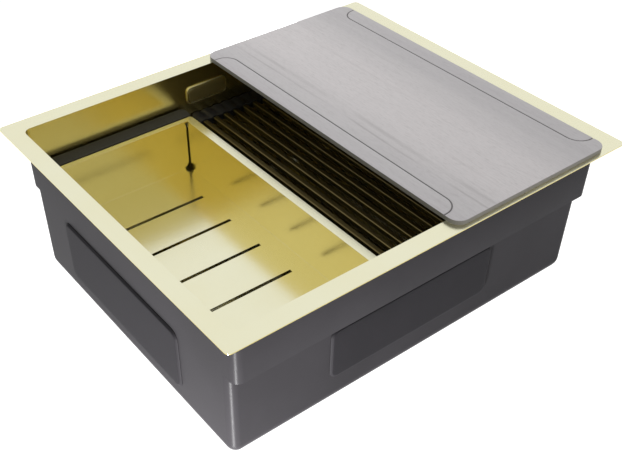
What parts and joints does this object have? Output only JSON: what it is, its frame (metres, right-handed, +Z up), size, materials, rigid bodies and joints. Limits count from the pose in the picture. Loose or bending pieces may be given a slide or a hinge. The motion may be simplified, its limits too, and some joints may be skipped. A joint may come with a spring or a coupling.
{
  "type": "workstation kitchen sink",
  "caption": "Inset kitchen sink bowl with a ledge, a sliding cutting board on the rim, a lift-out colander, a rod draining mat, a basket strainer and an overflow.",
  "frame": {"origin": "middle of the bowl's opening, in the plane of the rim's top face", "axes": "+X to the right along the sink's width, +Y to the back wall, +Z up"},
  "size_m": [0.59, 0.5, 0.306],
  "materials": {
    "gold_steel": "pale gold coat over brushed stainless steel",
    "grey_coat": "matt sprayed sound-deadening coat",
    "sound_pad": "dense self-adhesive sound pad",
    "black_rubber": "soft seal",
    "black_plastic": "moulded, fine texture",
    "grey_plastic": "moulded, satin",
    "bare_steel": "plain stainless steel",
    "bronze_steel": "dark gold coat over stainless tube",
    "dark_silicone": "matt silicone",
    "board_wood": "grey wood grain, oiled"
  },
  "bodies": {
    "sink": {"sink_bowl": "gold_steel", "sound_coat": "grey_coat", "front_pad": "sound_pad", "back_pad": "sound_pad", "left_pad": "sound_pad", "right_pad": "sound_pad", "base_pad_left": "sound_pad", "base_pad_right": "sound_pad", "rim_seal": "black_rubber", "overflow_cover": "gold_steel", "overflow_seal": "black_rubber", "overflow_chute": "black_plastic", "overflow_screws": "bare_steel", "overflow_hose": "black_plastic", "hose_clamps": "bare_steel", "flange_seal": "black_rubber", "strainer_flange": "gold_steel", "body_seal": "black_rubber", "strainer_body": "black_plastic", "clamp_screw": "bare_steel"},
    "basket": {"basket_cup": "gold_steel", "basket_seal": "black_rubber", "basket_knob": "gold_steel"},
    "colander_rails": {"colander_rail_back": "grey_plastic", "colander_rail_front": "grey_plastic"},
    "colander": {"colander_box": "gold_steel"},
    "mat": {"mat_rods": "bronze_steel", "mat_strip_back": "dark_silicone", "mat_strip_front": "dark_silicone"},
    "board": {"cutting_board": "board_wood"}
  },
  "joints": [
    {"name": "board_slide", "type": "slide", "parent": "sink", "child": "board", "axis": [1, 0, 0], "range_m": [-0.3, 0.03]},
    {"name": "colander_slide", "type": "slide", "parent": "sink", "child": "colander_rails", "axis": [1, 0, 0], "range_m": [-0.002, 0.01]},
    {"name": "colander_lift", "type": "slide", "parent": "colander_rails", "child": "colander", "axis": [0, 0, 1], "range_m": [0, 0.14]},
    {"name": "mat_slide", "type": "slide", "parent": "sink", "child": "mat", "axis": [1, 0, 0], "range_m": [-0.009, 0.007]},
    {"name": "basket_lift", "type": "slide", "parent": "sink", "child": "basket", "axis": [0, 0, 1], "range_m": [0, 0.06]}
  ]
}
